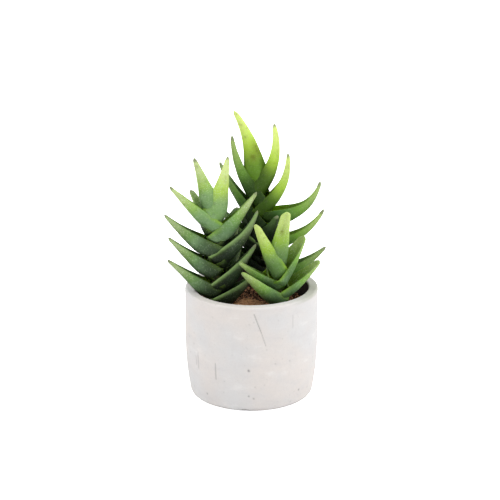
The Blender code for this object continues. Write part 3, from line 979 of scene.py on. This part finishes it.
def pot_faces(rows):
    """Faces between the rows of the pot's wall, and over its two ends."""
    faces = []
    for row in range(rows - 1):
        for side in range(POT_SIDES):
            after = (side + 1) % POT_SIDES
            low = row * POT_SIDES
            faces.append((low + side, low + after, low + POT_SIDES + after, low + POT_SIDES + side))
    faces.append(tuple((rows - 1) * POT_SIDES + side for side in range(POT_SIDES)))
    faces.append(tuple(reversed(range(POT_SIDES))))
    return faces


def make_pot(material):
    """The cast pot: a fine turned wall, a little uneven, with pits, hairlines and a worn rim."""
    profile = pot_profile()
    outside = np.arange(len(profile))[:, None] > np.argmax(profile[:, 1])
    angles = np.linspace(-math.pi, math.pi, POT_SIDES, endpoint=False)
    radius, worn = press_marks(profile, outside, angles)
    verts = []
    values = {"worn": worn.ravel(), "inside": [], "rim_shadow": []}
    for row, height in enumerate(profile[:, 1]):
        for side, angle in enumerate(angles):
            point = wall_point(angle, radius[row, side], height, outside[row, 0])
            verts.append(point)
            values["inside"].append(0.0 if outside[row, 0] else smooth(*INNER_DARK_DOWNWARD, point.z))
            values["rim_shadow"].append(smooth(*RIM_SHADOW_RIGHT, point.x) * smooth(*RIM_SHADOW_UPWARD, height))
    pot = mesh_object("fine_pot", verts, pot_faces(len(profile)), material)
    for name, numbers in values.items():
        pot.data.attributes.new(name, "FLOAT", "POINT").data.foreach_set("value", numbers)
    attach(pot, "root")
    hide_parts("pot")


# Soil

SOIL_SIDES = 200
SOIL_RINGS = 70
SOIL_RADIUS = POT_RADIUS - POT_WALL - FIT

# Loose grit: each sort's name, its dark and light tones, its smallest and largest grains in mm,
# and the seed of its draw.
GRITS = (
    ("grit_dark", srgb(42, 30, 20), srgb(90, 64, 44), 0.35, 1.1, 5),
    ("grit_brown", srgb(134, 92, 68), srgb(192, 146, 112), 0.35, 1.0, 6),
)
GRIT_COUNT = 2600
# A grain's room at the pot's wall and its lift above the soil, as shares of its size, the range of
# its turn, and the ranges of its shape: each corner's reach, its width and its height.
GRIT_ROOM = 1.2
GRIT_LIFT = 0.35
GRIT_TURN = (0.0, 6.28)
GRIT_REACH = (0.75, 1.2)
GRIT_WIDTH = (0.6, 1.0)
GRIT_SQUASH = 0.7


def soil_height(x, y):
    """The soil's top, with a level bed, a soft mound and small crumbs."""
    away = (Vector((x, y)) - MOUND_PLACE).length / MOUND_SPREAD
    grains = noise.noise(Vector((x, y, 0)) * GRAIN_SCALE)
    crumbs = noise.noise(Vector((x, y, CRUMB_LAYER)) * CRUMB_SCALE) * CRUMB_HEIGHT
    return SOIL_TOP + MOUND_HEIGHT * math.exp(-away * away / 2) + SOIL_GRAIN * grains + crumbs


def soil_points():
    """The middle of the soil's top, the rings round it, and a last ring below the outermost."""
    points = [Vector((0, 0, soil_height(0, 0)))]
    for ring in range(1, SOIL_RINGS + 1):
        for side in range(SOIL_SIDES):
            angle = 2 * math.pi * side / SOIL_SIDES
            x = SOIL_RADIUS * ring / SOIL_RINGS * math.cos(angle)
            y = SOIL_RADIUS * ring / SOIL_RINGS * math.sin(angle)
            points.append(Vector((x, y, soil_height(x, y))))
    for point in points[-SOIL_SIDES:]:
        points.append(Vector((point.x, point.y, SOIL_TOP - SKIN_DEPTH)))
    return points


def soil_faces():
    """A fan round the middle, faces between the rings, and one face underneath."""
    faces = [(0, 1 + side, 1 + (side + 1) % SOIL_SIDES) for side in range(SOIL_SIDES)]
    for ring in range(SOIL_RINGS):
        low = 1 + ring * SOIL_SIDES
        for side in range(SOIL_SIDES):
            after = (side + 1) % SOIL_SIDES
            faces.append((low + side, low + SOIL_SIDES + side, low + SOIL_SIDES + after, low + after))
    last = 1 + SOIL_RINGS * SOIL_SIDES
    faces.append(tuple(last + side for side in reversed(range(SOIL_SIDES))))
    return faces


def make_soil(material):
    soil = mesh_object("fine_soil", soil_points(), soil_faces(), material)
    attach(soil, "root")
    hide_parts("soil")


def round_lump():
    """A rough ball's corners, and the corners of each of its sides."""
    lump = bmesh.new()
    bmesh.ops.create_icosphere(lump, subdivisions=1, radius=1.0)
    corners = np.array([vert.co for vert in lump.verts])
    sides = [[vert.index for vert in face.verts] for face in lump.faces]
    lump.free()
    return corners, sides


def make_grit(name, dark, light, smallest, largest, seed):
    """Loose grit strewn over the soil: squashed lumps, half sunk."""
    draw = np.random.default_rng(seed)
    corners, sides = round_lump()
    verts = []
    faces = []
    for _ in range(GRIT_COUNT):
        size = smallest * (largest / smallest) ** draw.uniform() * MM
        away = (SOIL_RADIUS - size * GRIT_ROOM) * math.sqrt(draw.uniform())
        angle = draw.uniform(-math.pi, math.pi)
        x = away * math.cos(angle)
        y = away * math.sin(angle)
        turn = Matrix.Rotation(draw.uniform(*GRIT_TURN), 3, Vector(draw.normal(size=3)).normalized())
        shape = corners * draw.uniform(*GRIT_REACH, (len(corners), 1))
        shape = shape * (1.0, draw.uniform(*GRIT_WIDTH), GRIT_SQUASH)
        shape = shape @ np.array(turn) * size
        centre = np.array((x, y, soil_height(x, y) + size * GRIT_LIFT))
        start = len(verts)
        verts += [tuple(point) for point in shape + centre]
        faces += [[start + corner for corner in side] for side in sides]
    grit = mesh_object(name, verts, faces, soil_material(name, dark, light), smooth_shaded=False)
    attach(grit, "root")


# Stage

LEFT_LIGHT = 1.5
RIGHT_LIGHT = 2.1
FRONT_LIGHT = 0.6
TOP_LIGHT = 1.75
SIDE_BLEND = (-0.3, 0.3)
FLOOR_REACH = 6.0
FLOOR_DROP = 0.05 * MM
FLOOR_DARK = (0.85, 0.85, 0.85)
FLOOR_LIGHT = (0.9, 0.9, 0.9)
FLOOR_GRAIN = 8.0
WHITE = (1, 1, 1, 1)


def make_camera():
    data = bpy.data.cameras.new("camera")
    data.lens = CAMERA_LENS
    data.sensor_width = CAMERA_SENSOR
    data.clip_end = CAMERA_REACH
    camera = link(bpy.data.objects.new("camera", data))
    rise = math.radians(CAMERA_ELEVATION)
    away = Vector((0, -math.cos(rise), math.sin(rise))) * CAMERA_DISTANCE
    camera.location = CAMERA_TARGET + away
    camera.rotation_euler = (-away).to_track_quat("-Z", "Y").to_euler()
    bpy.context.scene.camera = camera


def floor_material():
    """A pale matte floor, which the camera sees as white as the photo's sweep."""
    n = Nodes.material("floor", Roughness=0.9, Emission_Color=WHITE)
    n.put(n.shader.inputs["Emission Strength"], n.seen_by_camera())
    grain = n.noise(n.place(), FLOOR_GRAIN)
    return n.finish(n.mix(grain, FLOOR_DARK, FLOOR_LIGHT), n.bump(grain, 0.1 * MM))


def make_floor():
    side = FLOOR_REACH
    corners = [(-side, -side, 0), (side, -side, 0), (side, side, 0), (-side, side, 0)]
    floor = mesh_object("floor", corners, [(0, 1, 2, 3)], floor_material(), smooth_shaded=False)
    floor.location.z = -FLOOR_DROP


def make_world():
    """Soft light from all round: most from the right, top and left, little from front and back."""
    world = bpy.data.worlds.new("studio")
    bpy.context.scene.world = world
    n = Nodes(world)
    way = n.add("ShaderNodeSeparateXYZ")
    n.put(way.inputs["Vector"], n.place("Generated"))
    side_light = n.ramp(way.outputs["X"], *SIDE_BLEND, LEFT_LIGHT, RIGHT_LIGHT)
    total = 0.0
    for part, strength in zip(way.outputs, (side_light, FRONT_LIGHT, TOP_LIGHT)):
        total = n.math("ADD", total, n.product(part, part, strength))
    background = n.tree.nodes["Background"]
    n.put(background.inputs["Strength"], n.ramp(n.seen_by_camera(), 0.0, 1.0, total, 1.0))
    background.inputs["Color"].default_value = WHITE


def cover_stems(material):
    """Bark on the three stems of the CAD model, which show as they are."""
    for stem in STEMS:
        node = bpy.data.objects[f"stem_{stem.name}"]
        node.data.materials.clear()
        node.data.materials.append(material)


def main():
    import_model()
    make_camera()
    make_floor()
    make_world()
    bpy.context.scene.view_settings.view_transform = "Standard"
    make_leaves(leaf_material())
    make_pot(concrete_material())
    make_soil(soil_material("soil", SOIL_DARK, SOIL_LIGHT))
    for sort in GRITS:
        make_grit(*sort)
    cover_stems(stem_material())


main()
